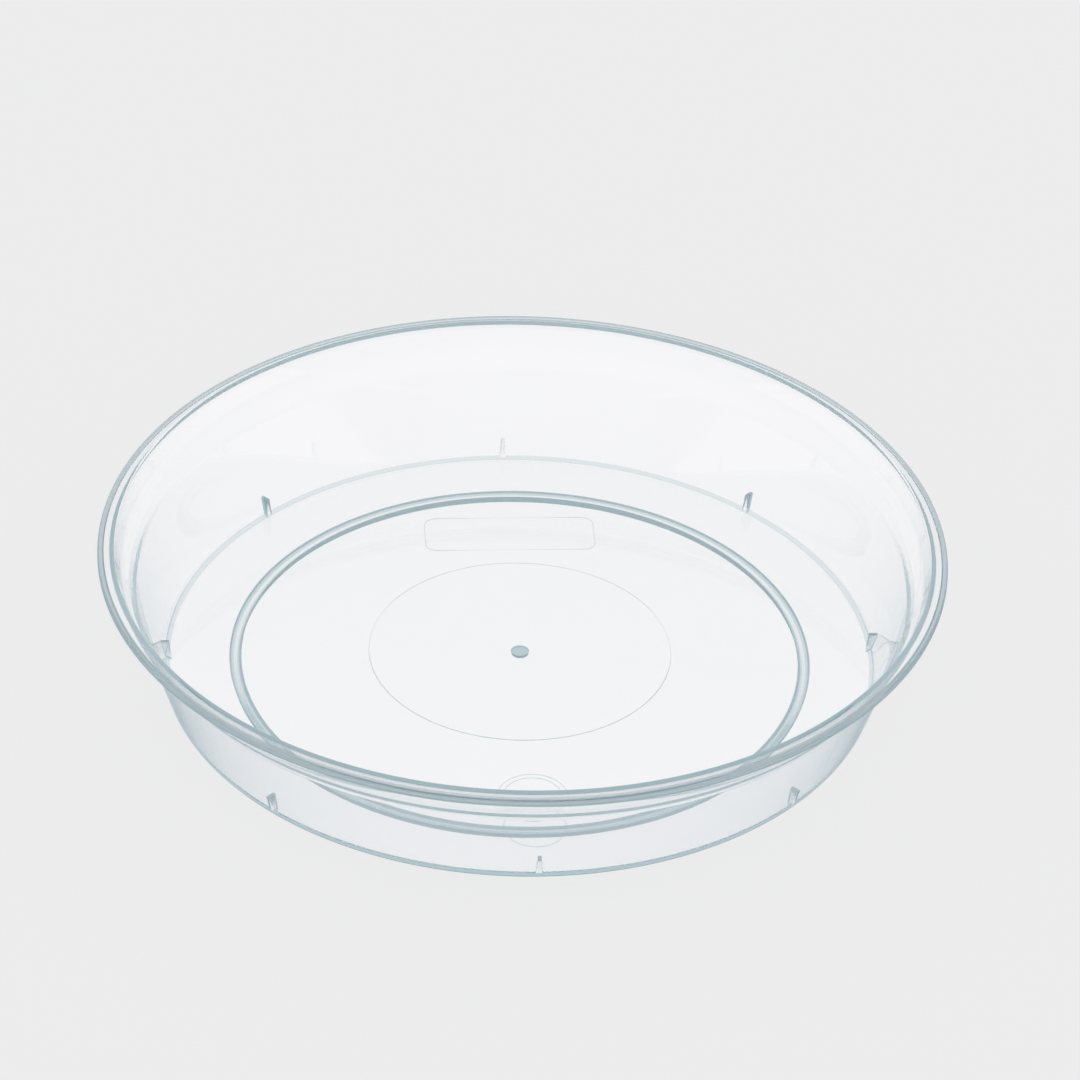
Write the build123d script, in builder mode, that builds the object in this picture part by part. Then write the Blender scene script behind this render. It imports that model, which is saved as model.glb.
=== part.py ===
from build123d import *
import os
from math import asin, cos, degrees, radians, sin, sqrt, tan

# A clear plant saucer, moulded in one piece. Z is its own axis and Z = 0 is
# the ground under its foot ring. Lengths are in millimetres, angles in degrees.

# Overall size
rim_diameter = 180.0
overall_height = 31.7

# Floor, wall and rim are one skin of one thickness
skin = 1.0

# The rim is a narrow flange that falls a little towards its edge
rim_width = 3.4
rim_slope = 10.0
rim_edge_share = 0.35

# A bead turned down along the flange's edge stiffens the rim
bead_width = 1.3
bead_depth = 1.25

# The wall leans outwards, with a wider leaning shoulder near its top
wall_flare = 18.0
shoulder_flare = 30.0
rim_wall_height = 5.6
shoulder_height = 2.4

# The shoulder starts inside with a short slope that leans further
step_height = 1.8
step_flare = 38.0

# The wall's bends are soft
bend_softening = 0.6

# The floor is crowned, so that water drains to its edge
base_lift = 1.3
floor_crown = 1.35
base_turn = 1.2
base_turn_share = 0.33

# A round insert in the mould leaves a fine step in the middle of the floor
insert_diameter = 64.8
insert_step = 0.05

# The foot ring under the floor carries the saucer
foot_ring_inset = 13.5
foot_ring_width = 2.3
foot_ring_edge_share = 0.28

# Small ribs in the corner keep stacked saucers from sticking together
rib_count = 8
rib_turn = 4.0
rib_height = 4.4
rib_foot_depth = 1.05
rib_face_draft = 6.5
rib_foot_width = 1.5
rib_top_width = 0.75

# The stub that the moulding gate leaves under the middle of the floor
gate_diameter = 3.8
gate_height = 0.8
gate_draft = 8.0

# Heights and radii of the skin's inside line, from the rim down
rim_radius = rim_diameter / 2
rim_inner_radius = rim_radius - rim_width
shoulder_top_height = overall_height - rim_wall_height
shoulder_top_radius = rim_inner_radius - rim_wall_height * tan(radians(wall_flare))
shoulder_foot_height = shoulder_top_height - shoulder_height
shoulder_foot_radius = shoulder_top_radius - shoulder_height * tan(radians(shoulder_flare))
step_foot_height = shoulder_foot_height - step_height
step_foot_radius = shoulder_foot_radius - step_height * tan(radians(step_flare))
corner_height = base_lift + skin
corner_radius = step_foot_radius - (step_foot_height - corner_height) * tan(radians(wall_flare))
crown_height = corner_height + floor_crown
lip_height = overall_height - rim_width * tan(radians(rim_slope))

# The crown is an arc about a centre far below the saucer
crown_arc_radius = (corner_radius**2 + floor_crown**2) / (2 * floor_crown)


def floor_height(radius):
    """Height of the floor's upper face at a radius."""
    return crown_height - crown_arc_radius + sqrt(crown_arc_radius**2 - radius**2)


def floor_slope(radius):
    """Angle by which the floor falls outwards at a radius."""
    return asin(radius / crown_arc_radius)


def outer_corner(inner_corner, lean_before, lean_after):
    """The corner on the skin's outer face that lies opposite one on its inside."""
    middle = radians((lean_before + lean_after) / 2)
    reach = skin / cos(radians((lean_before - lean_after) / 2))
    return (inner_corner[0] + reach * cos(middle), inner_corner[1] - reach * sin(middle))


def mid_wall_radius(height):
    """Radius of the middle of the lower wall's thickness at a height."""
    inside = corner_radius + (height - corner_height) * tan(radians(wall_flare))
    return inside + skin / 2 / cos(radians(wall_flare))


# Leans from upright of the floor at its edge, and of the rim
floor_lean = 90 + degrees(floor_slope(corner_radius))
rim_lean = 90 + rim_slope

# Corners of the section on the inside and the outside of the skin
insert_radius = insert_diameter / 2
insert_middle = (0, crown_height + insert_step)
insert_edge = (insert_radius, floor_height(insert_radius) + insert_step)
insert_foot = (insert_radius, floor_height(insert_radius))
insert_direction = (cos(floor_slope(insert_radius)), -sin(floor_slope(insert_radius)))
floor_inside = (corner_radius, corner_height)
step_foot_inside = (step_foot_radius, step_foot_height)
shoulder_foot_inside = (shoulder_foot_radius, shoulder_foot_height)
shoulder_top_inside = (shoulder_top_radius, shoulder_top_height)
rim_inside = (rim_inner_radius, overall_height)
lip_top = (rim_radius, lip_height)
lip_bottom = (rim_radius, lip_height - bead_depth)
bead_foot = (rim_radius - bead_width, lip_height - bead_depth)
rim_outside = outer_corner(rim_inside, wall_flare, rim_lean)
bead_root = (bead_foot[0], rim_outside[1] - (bead_foot[0] - rim_outside[0]) * tan(radians(rim_slope)))
shoulder_top_outside = outer_corner(shoulder_top_inside, shoulder_flare, wall_flare)
shoulder_foot_outside = outer_corner(step_foot_inside, wall_flare, shoulder_flare)
floor_outside = outer_corner(floor_inside, floor_lean, wall_flare)
crown_outside = (0, crown_height - skin)

# One rib, shaped by its side view and its front view
rib_root_height = corner_height - skin / 2
rib_top_height = corner_height + rib_height
rib_foot_radius = corner_radius - rib_foot_depth
rib_top_radius = rib_foot_radius + (rib_top_height - rib_root_height) * tan(radians(rib_face_draft))
with BuildPart() as rib:
    with BuildSketch(Plane.XZ) as rib_side:
        with BuildLine():
            Polyline(
                (rib_foot_radius, rib_root_height),
                (rib_top_radius, rib_top_height),
                (mid_wall_radius(rib_top_height), rib_top_height),
                (mid_wall_radius(rib_root_height), rib_root_height),
                close=True,
            )
        make_face()
    extrude(amount=rib_foot_width / 2, both=True)
    with BuildSketch(Plane.YZ) as rib_front:
        with BuildLine():
            Polyline(
                (-rib_foot_width / 2, rib_root_height),
                (rib_foot_width / 2, rib_root_height),
                (rib_top_width / 2, rib_top_height),
                (-rib_top_width / 2, rib_top_height),
                close=True,
            )
        make_face()
    extrude(amount=rim_radius, mode=Mode.INTERSECT)

# Places of the foot ring and the gate stub, which both start inside the skin
foot_ring_radius = corner_radius - foot_ring_inset - foot_ring_width / 2
foot_ring_top = floor_height(foot_ring_radius) - skin / 2
gate_root_height = crown_height - skin / 2
gate_root_radius = gate_diameter / 2
gate_tip_height = crown_height - skin - gate_height
gate_tip_radius = gate_root_radius - (gate_root_height - gate_tip_height) * tan(radians(gate_draft))

# The saucer: its section turned about its axis, then its ribs
with BuildPart() as saucer:
    with BuildSketch(Plane.XZ) as section:
        with BuildLine():
            TangentArc(insert_middle, insert_edge, tangent=(1, 0))
            Line(insert_edge, insert_foot)
            TangentArc(insert_foot, floor_inside, tangent=insert_direction)
            Polyline(floor_inside, step_foot_inside, shoulder_foot_inside, shoulder_top_inside, rim_inside)
            Polyline(rim_inside, lip_top, lip_bottom, bead_foot, bead_root, rim_outside)
            Polyline(rim_outside, shoulder_top_outside, shoulder_foot_outside, floor_outside)
            TangentArc(crown_outside, floor_outside, tangent=(1, 0))
            Line(crown_outside, insert_middle)
        make_face()

        # The base's outer corner turns in three flats
        chamfer(section.vertices().sort_by_distance(floor_outside)[0], base_turn)
        chamfer(section.vertices().sort_by_distance(floor_outside)[:2], base_turn_share * base_turn)

        # The rim's sharp edges are broken and the wall's bends softened
        for corner in (rim_inside, lip_top, lip_bottom):
            chamfer(section.vertices().sort_by_distance(corner)[0], rim_edge_share * skin)
        for corner in (step_foot_inside, shoulder_top_inside, shoulder_top_outside):
            chamfer(section.vertices().sort_by_distance(corner)[0], bend_softening)

        # The foot ring runs up into the middle of the floor's skin
        with Locations((foot_ring_radius, foot_ring_top / 2)):
            Rectangle(foot_ring_width, foot_ring_top)
        chamfer(section.vertices().group_by(Axis.Y)[0], foot_ring_edge_share * foot_ring_width)

        # The gate stub narrows downwards from the floor's underside
        with BuildLine():
            Polyline(
                (0, gate_root_height),
                (gate_root_radius, gate_root_height),
                (gate_tip_radius, gate_tip_height),
                (0, gate_tip_height),
                close=True,
            )
        make_face()
    revolve(axis=Axis.Z)

    with PolarLocations(0, rib_count, start_angle=rib_turn):
        add(rib.part)

saucer.part.label = "saucer"

os.makedirs("parts", exist_ok=True)
export_step(saucer.part, "parts/saucer.step")

box = saucer.part.bounding_box()
print(f"saucer: {len(saucer.solids())} solid, volume {saucer.part.volume:.0f} mm3")
print(f"size {box.size.X:.2f} x {box.size.Y:.2f} x {box.size.Z:.2f} mm, lowest {box.min.Z:.3f}")
print(f"radii: floor corner {corner_radius:.2f}, foot ring {foot_ring_radius:.2f}")
print(f"radii: shoulder {shoulder_foot_radius:.2f} to {shoulder_top_radius:.2f}, rib {rib_foot_radius:.2f}")
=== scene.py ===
# %% [markdown]
# # A clear plant saucer
# A plant saucer catches the water that runs out of a flower pot. This one is a
# single thin moulding of clear polypropylene, so everything that the eye sees is
# an edge, a bend or a faint mark in one skin of plastic. The shape has to be
# exact, because a clear thing is drawn by its own refraction.
#
# The imported CAD model is loaded first. It gives the size and the place of the saucer.

# %% Load the imported model
import math

import bmesh
import bpy
from mathutils import Matrix, Vector


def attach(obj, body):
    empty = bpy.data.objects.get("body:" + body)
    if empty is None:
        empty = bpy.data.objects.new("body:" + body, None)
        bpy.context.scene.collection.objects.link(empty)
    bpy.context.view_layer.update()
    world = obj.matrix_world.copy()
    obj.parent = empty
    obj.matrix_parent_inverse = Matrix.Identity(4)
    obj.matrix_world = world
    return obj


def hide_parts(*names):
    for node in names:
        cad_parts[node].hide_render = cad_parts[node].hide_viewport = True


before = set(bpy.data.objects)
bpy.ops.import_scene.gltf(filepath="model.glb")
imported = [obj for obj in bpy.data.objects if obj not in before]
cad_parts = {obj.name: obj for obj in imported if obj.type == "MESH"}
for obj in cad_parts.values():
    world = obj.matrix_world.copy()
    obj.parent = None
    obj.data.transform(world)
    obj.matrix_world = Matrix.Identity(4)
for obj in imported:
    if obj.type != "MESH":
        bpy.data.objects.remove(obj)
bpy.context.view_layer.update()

# %% [markdown]
# ## The camera
# The photograph was taken with a long lens from well above the rim. A long lens
# keeps the ellipses of the rim and the floor almost parallel. The camera is put
# on the saucer's own vertical plane, aimed a little past its middle, and rolled
# by a small angle about the line of sight, as a camera held by hand is.

# %% Place the camera
MM = 0.001
scene = bpy.context.scene
camera_distance = 1213.0 * MM
camera_elevation = math.radians(35.944)
camera_lift = 1.02 * MM
camera_aim = Vector((3.61, 23.39, 16.02)) * MM
camera_roll = math.radians(1.878)

camera_place = Vector((
    0,
    -camera_distance * math.cos(camera_elevation),
    camera_distance * math.sin(camera_elevation) + camera_lift,
))
sight = (camera_aim - camera_place).normalized()
level = sight.cross(Vector((0, 0, 1))).normalized()
upright = level.cross(sight)
rolled_level = level * math.cos(camera_roll) + upright * math.sin(camera_roll)
rolled_upright = upright * math.cos(camera_roll) - level * math.sin(camera_roll)
turn = Matrix((rolled_level, rolled_upright, -sight)).transposed().to_4x4()
print("camera at", [round(v, 4) for v in camera_place])

# %% Fit the lens
sensor_width = 36
focal_length = 188.11
nearest_seen = 0.01
farthest_seen = 50

lens = bpy.data.cameras.new("camera")
lens.sensor_width = sensor_width
lens.lens = focal_length
lens.clip_start = nearest_seen
lens.clip_end = farthest_seen
camera = bpy.data.objects.new("camera", lens)
camera.matrix_world = Matrix.Translation(camera_place) @ turn
scene.collection.objects.link(camera)
scene.camera = camera
scene.view_settings.view_transform = "Standard"
print("lens of", focal_length, "mm")

# %% [markdown]
# ## Helpers for node trees
# Materials, the sky and the shapes below are all node trees, and joining nodes
# one by one is slow to read. So the first class wraps a node's output, and sums
# of outputs can be written as arithmetic. Adding, subtracting and multiplying
# have their reflected forms too, so that 1 - mask works as well as mask - 1.

# %% Write arithmetic on outputs
class Value:
    """One output of a node. Arithmetic on it adds Math nodes."""

    def __init__(self, tree, socket):
        self.tree = tree
        self.socket = socket

    def math(self, operation, first, second):
        """The result of a Math node on two numbers or outputs."""
        settings = {"operation": operation}
        return self.tree.add("ShaderNodeMath", settings, {0: first, 1: second})

    def __add__(self, other):
        return self.math("ADD", self, other)

    def __radd__(self, other):
        return self.math("ADD", other, self)

    def __sub__(self, other):
        return self.math("SUBTRACT", self, other)

    def __rsub__(self, other):
        return self.math("SUBTRACT", other, self)

    def __mul__(self, other):
        return self.math("MULTIPLY", self, other)

    def __rmul__(self, other):
        return self.math("MULTIPLY", other, self)

    def __truediv__(self, other):
        return self.math("DIVIDE", self, other)


print("arithmetic on outputs ready")

# %% [markdown]
# The second class adds a node in one call. It sets what the node does before it
# feeds the sockets, because a setting can change which sockets a node has.

# %% Add a node with one call
class Tree:
    """A shader or geometry tree that is built with one call for each node."""

    def __init__(self, node_tree):
        self.tree = node_tree
        self.tree.nodes.clear()

    def add(self, kind, settings=None, inputs=None, out=0):
        """Adds a node, sets what it does, then feeds its sockets."""
        node = self.tree.nodes.new(kind)
        for name, value in (settings or {}).items():
            if name == "stops":
                self.set_stops(node.color_ramp.elements, value)
            else:
                setattr(node, name, value)
        for name, value in (inputs or {}).items():
            self.feed(node.inputs[name], value)
        return Value(self, node.outputs[out]) if len(node.outputs) else node

    def feed(self, socket, value):
        """Links one output or a list of them, or sets the socket's own value."""
        if isinstance(value, Value):
            self.tree.links.new(value.socket, socket)
        elif isinstance(value, list):
            for one in value:
                self.feed(socket, one)
        else:
            socket.default_value = value

    def set_stops(self, elements, stops):
        """Gives a colour ramp its stops, each a place and a colour."""
        for place, colour in stops[len(elements):]:
            elements.new(place)
        for element, (place, colour) in zip(elements, stops):
            element.position = place
            element.color = colour

    def mix_colour(self, share, first, second):
        """Blends two colours, where a share of 1 is all of the second."""
        inputs = {0: share, 6: first, 7: second}
        return self.add("ShaderNodeMix", {"data_type": "RGBA"}, inputs, out=2)


print("node trees ready")

# %% [markdown]
# ## The room
# Clear plastic has no colour of its own to speak of. It shows the room, bent and mirrored,
# so the room is part of its material. It has a pale floor, a white sky that is dimmer and
# bluer near the horizon, and nothing else. The edges of the saucer pick up that dim band,
# and painted shade in the plastic's finish darkens them further into blue-grey lines.
#
# The picture's plain background is made with Light Path: a ray that comes
# straight from the camera sees one pale grey on the floor and in the sky alike,
# while rays that have been through the plastic see the room as it is.

# %% Light the room
background_grey = (0.847, 0.847, 0.847, 1)
horizon_colour = (0.62, 0.68, 0.72, 1)
sky_colour = (0.95, 0.95, 0.97, 1)
horizon_top = 0.1
sky_bottom = 0.85

world = bpy.data.worlds.new("studio sky")
scene.world = world
world.use_nodes = True
sky = Tree(world.node_tree)
direction = sky.add("ShaderNodeTexCoord")
sky_height = sky.add("ShaderNodeSeparateXYZ", None, {0: direction}, out=2)
dome = sky.add("ShaderNodeValToRGB", {"stops": [
    (0, horizon_colour), (horizon_top, horizon_colour), (sky_bottom, sky_colour),
]}, {0: sky_height})
from_camera = sky.add("ShaderNodeLightPath")
seen = sky.mix_colour(from_camera, dome, background_grey)
light = sky.add("ShaderNodeBackground", None, {"Color": seen, "Strength": 1})
sky.add("ShaderNodeOutputWorld", None, {"Surface": light})
print("sky from", horizon_colour[:3], "to", sky_colour[:3])

# %% [markdown]
# ## The floor
# The floor is a round sheet that is much wider than the saucer. It lies a hair
# below the foot ring, so that the two faces never fight for the same place.

# %% Lay the floor
floor_radius = 2.5
floor_sides = 128
floor_drop = 0.05 * MM

floor_mesh = bpy.data.meshes.new("pale floor")
floor_edge = [
    (floor_radius * math.cos(angle), floor_radius * math.sin(angle), -floor_drop)
    for angle in (2 * math.pi * k / floor_sides for k in range(floor_sides))
]
floor_mesh.from_pydata(floor_edge, [], [tuple(range(floor_sides))])
floor = bpy.data.objects.new("pale floor", floor_mesh)
scene.collection.objects.link(floor)
print("floor", 2 * floor_radius, "m across")

# %% [markdown]
# The floor's finish has two parts. One glows by itself in the plain grey that the
# camera should see, and the other is an ordinary matt surface that takes the soft
# shadow under the rim. A ray that has passed through the plastic finds the floor
# nearly white, and a mirrored one finds it bluer. Far out it fades into the
# horizon's colour for both, so that no edge shows where the floor ends.

# %% Paint the floor
floor_near = 0.35
floor_far = 1.4
floor_seen_through = (1, 0.99, 1, 1)
floor_mirrored = (0.55, 0.61, 0.66, 1)
floor_paint = (0.85, 0.85, 0.85, 1)
floor_shadow_share = 0.05

floor_finish = bpy.data.materials.new("pale floor")
floor_finish.use_nodes = True
paint = Tree(floor_finish.node_tree)
floor_spot = paint.add("ShaderNodeTexCoord", out="Object")
reach = paint.add("ShaderNodeVectorMath", {"operation": "LENGTH"}, {0: floor_spot}, out=1)
fade = paint.add("ShaderNodeMapRange", {"interpolation_type": "SMOOTHSTEP"}, {
    "Value": reach, "From Min": floor_near, "From Max": floor_far,
})
from_camera = paint.add("ShaderNodeLightPath")
through = paint.add("ShaderNodeLightPath", out="Is Transmission Ray")
near_colour = paint.mix_colour(through, floor_mirrored, floor_seen_through)
room_colour = paint.mix_colour(fade, near_colour, horizon_colour)
glow_colour = paint.mix_colour(from_camera, room_colour, background_grey)
glow = paint.add("ShaderNodeEmission", None, {"Color": glow_colour, "Strength": 1})
matt = paint.add("ShaderNodeBsdfDiffuse", None, {"Color": floor_paint})
both = paint.add("ShaderNodeMixShader", None, {0: floor_shadow_share, 1: glow, 2: matt})
paint.add("ShaderNodeOutputMaterial", None, {"Surface": both})
floor_mesh.materials.append(floor_finish)
print("floor finish of", len(floor_finish.node_tree.nodes), "nodes")

# %% [markdown]
# ## The saucer's measures
# These are the same measures that the CAD part was drawn with, in millimetres.
# Radii and heights of the skin's inside line follow from them, from the rim down
# to the corner where the wall meets the floor.

# %% Measure the skin
skin = 1.0
rim_radius = 90.0
rim_height = 31.7
rim_width = 3.4
rim_slope = math.radians(10)
bead_width = 1.3
bead_depth = 1.25
wall_lean = math.radians(18)
shoulder_lean = math.radians(30)
step_lean = math.radians(38)
rim_wall_height = 5.6
shoulder_rise = 2.4
step_rise = 1.8
base_lift = 1.3
floor_crown = 1.35

rim_inner_radius = rim_radius - rim_width
bend_height = rim_height - rim_wall_height
bend_radius = rim_inner_radius - rim_wall_height * math.tan(wall_lean)
shoulder_height = bend_height - shoulder_rise
shoulder_radius = bend_radius - shoulder_rise * math.tan(shoulder_lean)
step_height = shoulder_height - step_rise
step_radius = shoulder_radius - step_rise * math.tan(step_lean)
corner_height = base_lift + skin
corner_radius = step_radius - (step_height - corner_height) * math.tan(wall_lean)
lip_height = rim_height - rim_width * math.tan(rim_slope)
print("corner at radius", round(corner_radius, 2), "height", corner_height)

# %% [markdown]
# The floor is crowned: its section is an arc about a centre far below. The skin
# has one thickness, so each bend of its outer face lies square across from the
# bend inside, half-way between the leans of the two stretches that meet there.

# %% Crown the floor and find the outer bends
crown_arc = (corner_radius**2 + floor_crown**2) / (2 * floor_crown)
floor_rows = 8


def floor_at(radius):
    """Height of the floor's upper face at a radius."""
    return corner_height + floor_crown - crown_arc + math.sqrt(crown_arc**2 - radius**2)


def floor_row(start, end, drop):
    """Points of the crowned floor between two radii, lowered by a drop."""
    radii = [start + (end - start) * k / floor_rows for k in range(floor_rows + 1)]
    return [(radius, floor_at(radius) - drop, 0) for radius in radii]


def outer_corner(radius, height, lean_below, lean_above):
    """The corner of the skin's outer face that lies opposite one on its inside."""
    middle = (lean_below + lean_above) / 2
    reach = skin / math.cos((lean_below - lean_above) / 2)
    return radius + reach * math.cos(middle), height - reach * math.sin(middle)


print("crown", round(floor_at(0), 2), "edge", round(floor_at(corner_radius), 2))

# %% [markdown]
# ## The section
# The saucer is a body of revolution: one closed outline, turned about its axis.
# The outline is written as corners, each with its own rounding, since moulded
# plastic has no knife edges. Each corner then becomes a short arc.
#
# A smooth-shaded mesh bends its shading over the whole length of the face next to
# an arc, and clear plastic would show that as a false curve. So each arc gets a
# guard point just outside both of its ends, and the long faces stay truly flat.

# %% Round an outline's corners
arc_step = math.radians(13)
cut_share = 0.45
guard_gap = 0.12
guard_share = 0.03


def rounded(corners):
    """The outline's points: corners given as radius, height and rounding."""
    points = []
    for index, (x, z, rounding) in enumerate(corners):
        corner = Vector((x, z))
        if rounding == 0 or index in (0, len(corners) - 1):
            points.append(corner)
            continue
        before = Vector(corners[index - 1][:2]) - corner
        after = Vector(corners[index + 1][:2]) - corner
        room = min(before.length, after.length)
        half_angle = before.angle(after) / 2
        cut = min(rounding / math.tan(half_angle), cut_share * room)
        guard = min(guard_gap, guard_share * room)
        start = corner + before.normalized() * cut
        end = corner + after.normalized() * cut
        middle = (before.normalized() + after.normalized()).normalized()
        centre = corner + middle * cut / math.cos(half_angle)
        swing = (start - centre).angle_signed(end - centre)
        steps = max(2, math.ceil(abs(swing) / arc_step))
        points.append(start + before.normalized() * guard)
        for k in range(steps + 1):
            spoke = Matrix.Rotation(-swing * k / steps, 2) @ (start - centre)
            points.append(centre + spoke)
        points.append(end + after.normalized() * guard)
    return points


print("arcs in steps of up to", round(math.degrees(arc_step)), "degrees")

# %% [markdown]
# The inside runs from the middle of the floor outwards and up to the lip. Where
# the mould's round insert ends, the floor drops by a hair and carries a tiny
# ridge. The floor meets the wall in a fillet, and the wall's bends are soft.

# %% Draw the inside
insert_radius = 32.4
insert_step = 0.05
insert_ridge = 0.1
corner_room = 3
floor_fillet = 1.3
shoulder_rounding = 2
bend_rounding = 12
rim_rounding = 0.5
lip_rounding = 0.6

inside = [
    *floor_row(0, insert_radius - insert_ridge, -insert_step),
    (insert_radius, floor_at(insert_radius) + insert_ridge, 0),
    *floor_row(insert_radius + insert_ridge, corner_radius - corner_room, 0),
    (corner_radius, corner_height, floor_fillet),
    (step_radius, step_height, shoulder_rounding),
    (shoulder_radius, shoulder_height, shoulder_rounding),
    (bend_radius, bend_height, bend_rounding),
    (rim_inner_radius, rim_height, rim_rounding),
    (rim_radius, lip_height, lip_rounding),
]
print("inside of", len(inside), "corners")

# %% [markdown]
# The outside comes back down: round the bead that stiffens the rim, along the
# underside of the flange, and down the wall to the base's rounded corner.

# %% Draw the outside
fine_rounding = 0.2
outer_bend_rounding = 8
outer_step_rounding = 4
base_rounding = 1

floor_lean = math.pi / 2 + math.asin(corner_radius / crown_arc)
rim_lean = math.pi / 2 + rim_slope
bead_foot = lip_height - bead_depth
bead_inner = rim_radius - bead_width
root_radius, root_height = outer_corner(rim_inner_radius, rim_height, wall_lean, rim_lean)
bead_root = root_height - (bead_inner - root_radius) * math.tan(rim_slope)
outer_bend = outer_corner(bend_radius, bend_height, shoulder_lean, wall_lean)
outer_step = outer_corner(step_radius, step_height, wall_lean, shoulder_lean)
outer_base = outer_corner(corner_radius, corner_height, floor_lean, wall_lean)
outside = [
    (rim_radius, bead_foot, fine_rounding),
    (bead_inner, bead_foot, fine_rounding),
    (bead_inner, bead_root, fine_rounding),
    (root_radius, root_height, fine_rounding),
    (*outer_bend, outer_bend_rounding),
    (*outer_step, outer_step_rounding),
    (*outer_base, base_rounding),
]
print("outside of", len(outside), "corners")

# %% [markdown]
# The underside follows the crown back to the axis, past the foot ring and the
# stub that the mould's gate leaves.
#
# The foot of the ring slants up a little towards its outer side. Seen through the
# floor, such a foot mirrors in front and is clear at the sides, and so the ring
# reads as one solid band in front and as two fine lines to the left and right.

# %% Draw the underside and close the section
foot_ring_inset = 13.5
foot_ring_width = 2.3
foot_ring_outer_draft = 0.1
foot_ring_inner_draft = 0.3
foot_ring_slant = 0.5
foot_ring_toe = 0.128
foot_ring_rounding = 0.4
gate_radius = 1.9
gate_height = 0.8
gate_draft = 0.12
gate_root_rounding = 0.05
root_room = 0.6

foot_ring_outer = corner_radius - foot_ring_inset
foot_ring_inner = foot_ring_outer - foot_ring_width
gate_tip = floor_at(0) - skin - gate_height
underside = [
    *floor_row(corner_radius - corner_room, foot_ring_outer + root_room, skin),
    (foot_ring_outer, floor_at(foot_ring_outer) - skin, fine_rounding),
    (foot_ring_outer - foot_ring_outer_draft, foot_ring_slant, foot_ring_rounding),
    (foot_ring_inner + foot_ring_inner_draft, -foot_ring_toe, foot_ring_rounding),
    (foot_ring_inner, floor_at(foot_ring_inner) - skin, fine_rounding),
    *floor_row(foot_ring_inner - root_room, gate_radius + root_room, skin),
    (gate_radius, floor_at(gate_radius) - skin, gate_root_rounding),
    (gate_radius - gate_draft, gate_tip, fine_rounding),
    (0, gate_tip, 0),
]
section = rounded(inside + outside + underside)
heights = [point.y for point in section]
print("section of", len(section), "points")
print("heights from", round(min(heights), 3), "to", round(max(heights), 3), "mm")

# %% [markdown]
# ## The ribs
# Eight small ribs stand in the corner between floor and wall. They keep stacked
# saucers from sticking together. Each is a wedge that narrows upwards, with its
# edges slightly rounded. One wedge is modelled here from four corners on each of
# its two sides, and the node tree below repeats it.

# %% Model one rib
rib_height = 4.4
rib_foot_depth = 1.05
rib_face_draft = math.radians(6.5)
rib_foot_width = 1.5
rib_top_width = 0.75
rib_edge_rounding = 0.12
rib_root = corner_height - skin / 2
rib_top = corner_height + rib_height
rib_front = corner_radius - rib_foot_depth
rib_front_top = rib_front + (rib_top - rib_root) * math.tan(rib_face_draft)


def mid_wall(height):
    """Radius of the middle of the lower wall's skin at a height."""
    return corner_radius + (height - corner_height) * math.tan(wall_lean) + skin / 2


rib_shape = bmesh.new()
rib_rows = [
    (rib_front, rib_root, rib_foot_width),
    (rib_front_top, rib_top, rib_top_width),
    (mid_wall(rib_top), rib_top, rib_top_width),
    (mid_wall(rib_root), rib_root, rib_foot_width),
]
near, far = [
    [rib_shape.verts.new(Vector((x, side * width / 2, z)) * MM) for x, z, width in rib_rows]
    for side in (-1, 1)
]
rib_shape.faces.new(near)
rib_shape.faces.new(far[::-1])
for k in range(len(rib_rows)):
    rib_shape.faces.new((near[k], far[k], far[k - 1], near[k - 1]))
bmesh.ops.recalc_face_normals(rib_shape, faces=rib_shape.faces[:])
bmesh.ops.bevel(
    rib_shape, geom=rib_shape.edges[:], offset=rib_edge_rounding * MM, segments=3,
    profile=0.5, affect="EDGES",
)
rib_mesh = bpy.data.meshes.new("rib")
rib_shape.to_mesh(rib_mesh)
rib_shape.free()
rib = bpy.data.objects.new("rib", rib_mesh)
scene.collection.objects.link(rib)
print("rib of", len(rib_mesh.polygons), "faces")

# %% [markdown]
# ## The marks of the mould
# The mould leaves thin raised lines on the floor where its loose plates and pins
# meet its face. They are drawn as flat loops first: a rounded plate behind the
# middle of the floor, and round marks near the front rib.

# %% Draw the loops
mark_turn = math.radians(4)
plate_width = 37.4
plate_depth = 12.7
plate_radius = 44.1
plate_rounding = 2.6
plate_corner_steps = 6
pin_points = 72


def ring_loop(radius, angle, mark_radius):
    """Points of a round mark centred at a radius and an angle on the floor."""
    centre = Vector((radius, 0))
    around = [2 * math.pi * k / pin_points for k in range(pin_points)]
    spots = [centre + mark_radius * Vector((math.cos(a), math.sin(a))) for a in around]
    return [Matrix.Rotation(angle, 2) @ spot for spot in spots]


def plate_loop():
    """Points of the rounded plate outline behind the middle of the floor."""
    spots = []
    for quarter, (across, along) in enumerate(((1, 1), (1, -1), (-1, -1), (-1, 1))):
        centre = Vector((
            plate_radius + across * (plate_depth / 2 - plate_rounding),
            along * (plate_width / 2 - plate_rounding),
        ))
        for k in range(plate_corner_steps + 1):
            angle = math.pi / 2 * (1 - quarter - k / plate_corner_steps)
            spoke = Vector((math.cos(angle), math.sin(angle)))
            spots.append(centre + plate_rounding * spoke)
    return [Matrix.Rotation(math.pi / 2 + mark_turn, 2) @ spot for spot in spots]


print("plate loop of", len(plate_loop()), "points")

# %% [markdown]
# Each loop is then laid on the crowned floor, and a very thin bead will follow
# it. One round mark crosses two others, so it is an object of its own: a Boolean
# can only resolve a crossing between the meshes that it is given, not one inside
# a single mesh.

# %% Lay the marks on the floor
pin_place = 51.35
pin_outer = 7.4
pin_inner = 6.2
crossing_place = 60.5
crossing_size = 6.45
front = -math.pi / 2 + mark_turn


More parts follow.
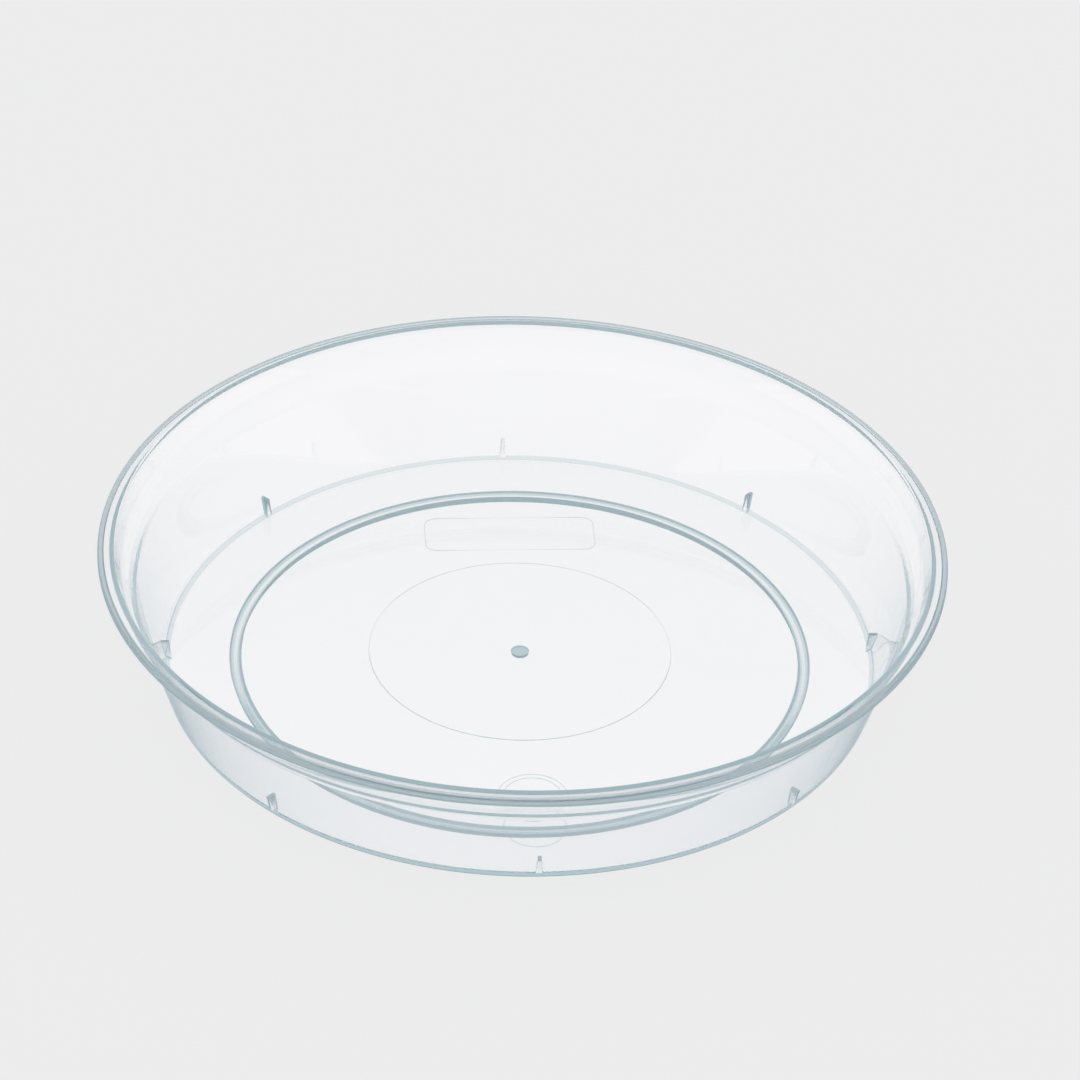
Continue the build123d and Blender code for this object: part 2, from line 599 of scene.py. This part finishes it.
def lay_marks(name, loops):
    """An object of loose edges that lays closed loops on the crowned floor."""
    spots, edges = [], []
    for loop in loops:
        first = len(spots)
        spots += [(x * MM, y * MM, floor_at(math.hypot(x, y)) * MM) for x, y in loop]
        edges += [(first + k, first + (k + 1) % len(loop)) for k in range(len(loop))]
    mesh = bpy.data.meshes.new(name)
    mesh.from_pydata(spots, edges, [])
    laid = bpy.data.objects.new(name, mesh)
    scene.collection.objects.link(laid)
    print(name, "of", len(spots), "points")
    return laid


marks = lay_marks("mould marks", [
    plate_loop(),
    ring_loop(pin_place, front, pin_outer),
    ring_loop(pin_place, front, pin_inner),
])
crossing_mark = lay_marks("crossing mark", [
    ring_loop(crossing_place, front, crossing_size),
])

# %% [markdown]
# ## Growing the saucer
# The body follows a rule, so Geometry Nodes make it, and they also repeat the
# ribs and run the beads. The tree has a named input for each size and each
# helper object, so that any of them can be changed without opening the tree.

# %% Name the tree's inputs
turning = bpy.data.node_groups.new("turned saucer", "GeometryNodeTree")
tree_inputs = {
    "Section": "NodeSocketGeometry",
    "Rib": "NodeSocketObject",
    "Marks": "NodeSocketObject",
    "Crossing Mark": "NodeSocketObject",
    "Segments": "NodeSocketInt",
    "Rib Count": "NodeSocketInt",
    "Rib Turn": "NodeSocketFloat",
    "Path Radius": "NodeSocketFloat",
    "Bead Radius": "NodeSocketFloat",
    "Material": "NodeSocketMaterial",
}
for name, kind in tree_inputs.items():
    turning.interface.new_socket(name, in_out="INPUT", socket_type=kind)
turning.interface.new_socket(
    "Saucer", in_out="OUTPUT", socket_type="NodeSocketGeometry",
)

grow = Tree(turning)
given = turning.nodes.new("NodeGroupInput").outputs


def take(name):
    """One of the tree's named inputs."""
    return Value(grow, given[name])


print("tree with", len(tree_inputs), "inputs")

# %% [markdown]
# Curve to Mesh drags the section round a circle, as a lathe does the other way
# about. The section is shifted by the circle's radius first, so that its axis
# lands on the axis of the circle, and Merge by Distance closes the two poles.

# %% Turn the section
pole_gap = 0.004 * MM

chain = grow.add("GeometryNodeMeshToCurve", None, {"Mesh": take("Section")})
shift = grow.add("ShaderNodeCombineXYZ", None, {"X": 0 - take("Path Radius")})
profile = grow.add("GeometryNodeTransform", None, {
    "Geometry": chain, "Translation": shift, "Rotation": (math.pi / 2, 0, 0),
})
path = grow.add("GeometryNodeCurvePrimitiveCircle", {"mode": "RADIUS"}, {
    "Resolution": take("Segments"), "Radius": take("Path Radius"),
})
turned = grow.add("GeometryNodeCurveToMesh", None, {
    "Curve": path, "Profile Curve": profile,
})
body = grow.add("GeometryNodeMergeByDistance", None, {
    "Geometry": turned, "Distance": pole_gap,
})
print("body after", len(turning.nodes), "nodes")

# %% [markdown]
# All rib points lie on the axis, and each copy of the rib is turned by its own
# number's share of a full circle. The rib's mesh already stands at the wall, so
# a turn is all that it takes to reach its place.

# %% Stand the ribs in a ring
rib_spots = grow.add("GeometryNodePoints", None, {"Count": take("Rib Count")})
number = grow.add("GeometryNodeInputIndex")
rib_angle = number * (2 * math.pi) / take("Rib Count") + take("Rib Turn")
rib_facing = grow.add("ShaderNodeCombineXYZ", None, {"Z": rib_angle})
rib_form = grow.add("GeometryNodeObjectInfo", None, {"Object": take("Rib")}, out="Geometry")
rib_copies = grow.add("GeometryNodeInstanceOnPoints", None, {
    "Points": rib_spots, "Instance": rib_form, "Rotation": rib_facing,
})
ribs = grow.add("GeometryNodeRealizeInstances", None, {"Geometry": rib_copies})
print("ribs after", len(turning.nodes), "nodes")

# %% [markdown]
# The beads of the mould marks are a tiny round profile dragged along each loop.
# A Boolean then unites the body, the ribs and the beads, so that light meets only
# the true surface and no wall inside the plastic.

# %% Run the beads and unite it all
bead_sides = 6

bead_round = grow.add("GeometryNodeCurvePrimitiveCircle", {"mode": "RADIUS"}, {
    "Resolution": bead_sides, "Radius": take("Bead Radius"),
})


def beads_along(name):
    """Thin round beads along the loops of an object that the tree is given."""
    given_loops = {"Object": take(name)}
    form = grow.add("GeometryNodeObjectInfo", None, given_loops, out="Geometry")
    paths = grow.add("GeometryNodeMeshToCurve", None, {"Mesh": form})
    return grow.add("GeometryNodeCurveToMesh", None, {
        "Curve": paths, "Profile Curve": bead_round,
    })


union = {"operation": "UNION", "solver": "MANIFOLD"}
united = grow.add("GeometryNodeMeshBoolean", union, {
    1: [body, ribs, beads_along("Marks"), beads_along("Crossing Mark")],
})
whole = grow.add("GeometryNodeRealizeInstances", None, {"Geometry": united})
painted = grow.add("GeometryNodeSetMaterial", None, {
    "Geometry": whole, "Material": take("Material"),
})
grow.add("NodeGroupOutput", None, {0: painted})
print("tree of", len(turning.nodes), "nodes")

# %% [markdown]
# ## Clear polypropylene
# A mould is polished on its broad faces, and less in its grooves. So the rim, the
# The rim, the foot ring, the gate stub, the base's corner, the ribs and the raised marks
# get painted shade: a share of their light goes to a blue-grey Translucent shader, so that
# they draw as darker lines than the rest. Each zone is a mask on the distance from the axis
# and the height, so it needs no painted map and runs evenly all round.
# Two small helpers write such masks in millimetres: one rises past a limit, and
# the other is 1 within a reach of a middle value.

# %% Measure every spot of the skin
clear_plastic = bpy.data.materials.new("clear polypropylene")
clear_plastic.use_nodes = True
blend = Tree(clear_plastic.node_tree)
spot = blend.add("ShaderNodeTexCoord", out="Object")
from_axis = blend.add("ShaderNodeVectorMath", {"operation": "MULTIPLY"}, {
    0: spot, 1: (1, 1, 0),
})
radius = blend.add("ShaderNodeVectorMath", {"operation": "LENGTH"}, {0: from_axis}, out=1)
spot_height = blend.add("ShaderNodeSeparateXYZ", None, {0: spot}, out=2)


def past(value, limit, fade):
    """0 up to a limit in millimetres, rising to 1 over a short fade past it."""
    return blend.add("ShaderNodeMapRange", {"interpolation_type": "SMOOTHSTEP"}, {
        "Value": value, "From Min": limit * MM, "From Max": (limit + fade) * MM,
    })


def within(value, middle, reach, fade):
    """1 up to a reach from a middle value in millimetres, then fading to 0."""
    away = value.math("ABSOLUTE", value - middle * MM, 0)
    return 1 - past(away, reach, fade)


print("mask helpers ready")

# %% Find the foot ring, the gate stub and the base's corner
crisp = 0.02
ring_margin = 0.1
foot_reach = 0.3
foot_fade = 0.2
base_reach = 1.2
base_fade = 0.3
base_top = 1.9
base_top_fade = 0.4

ring_middle = (foot_ring_outer + foot_ring_inner) / 2
ring_reach = foot_ring_width / 2 + ring_margin
ring_top = floor_at(foot_ring_outer) - skin
gate_top = floor_at(0) - skin
on_ring = (
    within(radius, ring_middle, ring_reach, crisp)
    * within(spot_height, 0, ring_top, crisp)
)
on_foot = within(radius, ring_middle, foot_reach, foot_fade)
on_gate = within(radius, 0, gate_radius, crisp) * within(spot_height, 0, gate_top, crisp)
on_base = (
    within(radius, corner_radius + skin, base_reach, base_fade)
    * within(spot_height, 0, base_top, base_top_fade)
)
print("ring zone", round(ring_middle, 2), "plus or minus", round(ring_reach, 2), "mm")

# %% Find the rim
bead_margin = 0.1
flange_margin = 0.3
rim_fade = 0.2

on_bead = past(radius, bead_inner - bead_margin, rim_fade)
on_flange = past(radius, rim_inner_radius + flange_margin, rim_fade)
print("bead zone from radius", round(bead_inner - bead_margin, 2), "mm")

# %% [markdown]
# The raised marks and the ribs stand proud of a curved floor and a leaning wall.
# Their masks compare each spot with the bare face under it: the crown's arc, which
# is close to a parabola, and the straight inside line of the wall.

# %% Find the raised marks and the ribs
mark_start = 0.02
insert_margin = 0.15
marks_end = 68
marks_end_fade = 0.1
fillet_top = 1.2
fillet_fade = 0.3
wall_margin = 0.15
wall_fade = 0.05
rib_margin = 2
rib_fade = 0.5

crown_top = (corner_height + floor_crown) * MM
over_floor = spot_height - crown_top + radius * radius / (2 * crown_arc * MM)
on_open_floor = (
    past(radius, insert_radius - insert_margin, crisp)
    * (1 - past(radius, marks_end, marks_end_fade))
)
on_mark = past(over_floor, mark_start, crisp) * on_open_floor

wall_foot = corner_radius - corner_height * math.tan(wall_lean)
off_wall = spot_height * math.tan(wall_lean) - radius + wall_foot * MM
over_fillet = past(spot_height, corner_height + fillet_top, fillet_fade)
near_ribs = past(radius, rib_front - rib_margin, rib_fade)
on_rib = past(off_wall, wall_margin, wall_fade) * over_fillet * near_ribs
print("zones of", len(clear_plastic.node_tree.nodes), "nodes")

# %% [markdown]
# The plastic is colourless at a glance and faintly blue-grey where the eye looks
# along it, at an edge. Volume Absorption does that: the longer the way through
# the plastic, the deeper the tint. The mould is polished, so the skin is smooth
# and has no more than a little orange peel.

# %% Mix the clear plastic
plastic_index = 1.49
plastic_tint = (0.16, 0.355, 0.41, 1)
plastic_density = 20.0
clear_colour = (1, 1, 1, 1)
hazy_colour = (0.99, 0.985, 0.99, 1)
haze_roughness = 0.03
haze_scale = 35
peel_scale = 900
peel_strength = 0.1
peel_depth = 0.01 * MM

peel = blend.add("ShaderNodeTexNoise", None, {
    "Vector": spot, "Scale": peel_scale, "Detail": 2,
})
haze = blend.add("ShaderNodeTexNoise", None, {
    "Vector": spot, "Scale": haze_scale, "Detail": 3,
})
surface_colour = blend.mix_colour(haze, clear_colour, hazy_colour)
surface = blend.add("ShaderNodeBump", None, {
    "Strength": peel_strength, "Distance": peel_depth, "Height": peel,
})
plastic = blend.add("ShaderNodeBsdfPrincipled", None, {
    "Base Color": surface_colour, "Roughness": haze_roughness * haze,
    "IOR": plastic_index, "Transmission Weight": 1, "Normal": surface,
})
depth = blend.add("ShaderNodeVolumeAbsorption", None, {
    "Color": plastic_tint, "Density": plastic_density,
})
print("index", plastic_index, "density", plastic_density)

# %% [markdown]
# Where light inside the skin meets the surface and is mirrored back, a share of it goes to
# a blue-grey Translucent shader instead of the clear plastic. This is painted shade: it
# darkens the edges and lines where a darker room would be mirrored inside the skin. The
# edge zones above send a share of all their light there too, each its own, as more painted
# shade.

# %% Paint shade at inner reflections and on the edge zones
# Painted shade: this blue-grey colour and the shares below darken the inner reflections and
# the edge zones.
painted_shade_colour = (0.515, 0.643, 0.668, 1)
inner_reflection_shade_share = 0.85
# Shares of painted shade for each edge zone.
flank_share = 0.7
foot_share = 0.2
gate_share = 1
base_share = 0.4
bead_share = 0.33
flange_share = 0.06
mark_share = 0.08
rib_share = 0.12

mirror = blend.add("ShaderNodeFresnel", None, {"IOR": plastic_index})
inner_side = blend.add("ShaderNodeNewGeometry", out="Backfacing")
shade_scatter = blend.add("ShaderNodeBsdfTranslucent", None, {"Color": painted_shade_colour})
# Painted shade at each inner reflection, by its share of the mirrored light.
painted_inner_reflection_shade = mirror * inner_side * inner_reflection_shade_share
# Painted shade on the edge zones: foot ring, gate stub, base corner, rim bead, flange,
# marks and ribs.
painted_zone_shade = (
    on_ring * (flank_share - on_foot * (flank_share - foot_share))
    + on_gate * gate_share + on_base * base_share
    + on_bead * bead_share + on_flange * flange_share
    + on_mark * mark_share + on_rib * rib_share
)
skin_finish = blend.add("ShaderNodeMixShader", None, {
    0: painted_inner_reflection_shade + (1 - painted_inner_reflection_shade) * painted_zone_shade, 1: plastic, 2: shade_scatter,
})
blend.add("ShaderNodeOutputMaterial", None, {"Surface": skin_finish, "Volume": depth})
print("clear plastic of", len(clear_plastic.node_tree.nodes), "nodes")

# %% [markdown]
# ## Making the mesh
# The section is written as a chain of edges, the modifier turns it, and the
# result is taken as a plain mesh. Each input is set by its socket's identifier
# before the saucer is first evaluated, because a name alone would not reach it.

# %% Grow the saucer from its section
segments = 480
rib_count = 8
path_radius = 50 * MM
mark_bead_radius = 0.1 * MM

section_mesh = bpy.data.meshes.new("section")
section_mesh.from_pydata(
    [(point.x * MM, 0, point.y * MM) for point in section],
    [(k, k + 1) for k in range(len(section) - 1)], [],
)
saucer = bpy.data.objects.new("saucer", section_mesh)
scene.collection.objects.link(saucer)
modifier = saucer.modifiers.new("turned saucer", "NODES")
modifier.node_group = turning
sizes = {
    "Rib": rib, "Marks": marks, "Crossing Mark": crossing_mark,
    "Segments": segments, "Rib Count": rib_count, "Rib Turn": mark_turn,
    "Path Radius": path_radius, "Bead Radius": mark_bead_radius,
    "Material": clear_plastic,
}
for item in turning.interface.items_tree:
    if item.in_out == "INPUT" and item.name in sizes:
        modifier[item.identifier] = sizes[item.name]
grown = saucer.evaluated_get(bpy.context.evaluated_depsgraph_get())
saucer_mesh = bpy.data.meshes.new_from_object(grown)
print("saucer of", len(saucer_mesh.polygons), "faces")

# %% [markdown]
# The plain mesh takes the section's place, and the helper objects go. Edges where
# the surface really turns sharply are marked sharp, and the rest is shaded smooth.

# %% Keep the plain mesh
sharp_angle = math.radians(24)

saucer.modifiers.clear()
saucer.data = saucer_mesh
saucer_mesh.name = "saucer"
for helper in (rib, marks, crossing_mark):
    bpy.data.objects.remove(helper)
saucer_mesh.shade_smooth()
saucer_mesh.set_sharp_from_angle(angle=sharp_angle)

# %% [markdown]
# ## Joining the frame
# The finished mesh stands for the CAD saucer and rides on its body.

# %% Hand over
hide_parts("saucer")
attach(saucer, "root")
